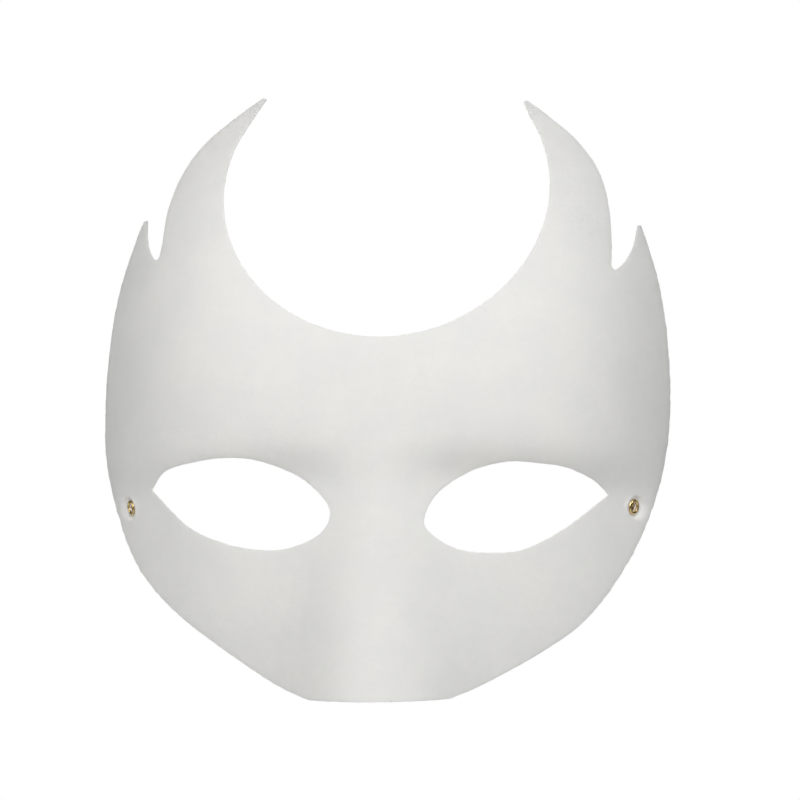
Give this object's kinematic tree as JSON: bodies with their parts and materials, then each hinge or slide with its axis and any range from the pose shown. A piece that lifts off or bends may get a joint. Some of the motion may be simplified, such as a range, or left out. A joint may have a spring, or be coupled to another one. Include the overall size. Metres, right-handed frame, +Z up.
{
  "type": "horned half mask",
  "caption": "Blank moulded-pulp half mask for costume wear, with eye openings, a horned crest over a crescent gap, and brass eyelets for a head cord.",
  "frame": {"origin": "on the centre plane, where the inside of the nose bridge rests on the wearer, level with the middle of the eye openings", "axes": "+Z up along the face to the horns, -Y out of the face towards a viewer, +X to the viewer's right (the wearer's left)"},
  "size_m": [0.1783, 0.0647, 0.188],
  "materials": {
    "pulp": "matte moulded paper pulp, white, with a fine felted grain",
    "brass": "bright pressed brass"
  },
  "bodies": {
    "root": {"mask_shell": "pulp", "eyelet_left": "brass", "eyelet_right": "brass"}
  },
  "joints": []
}
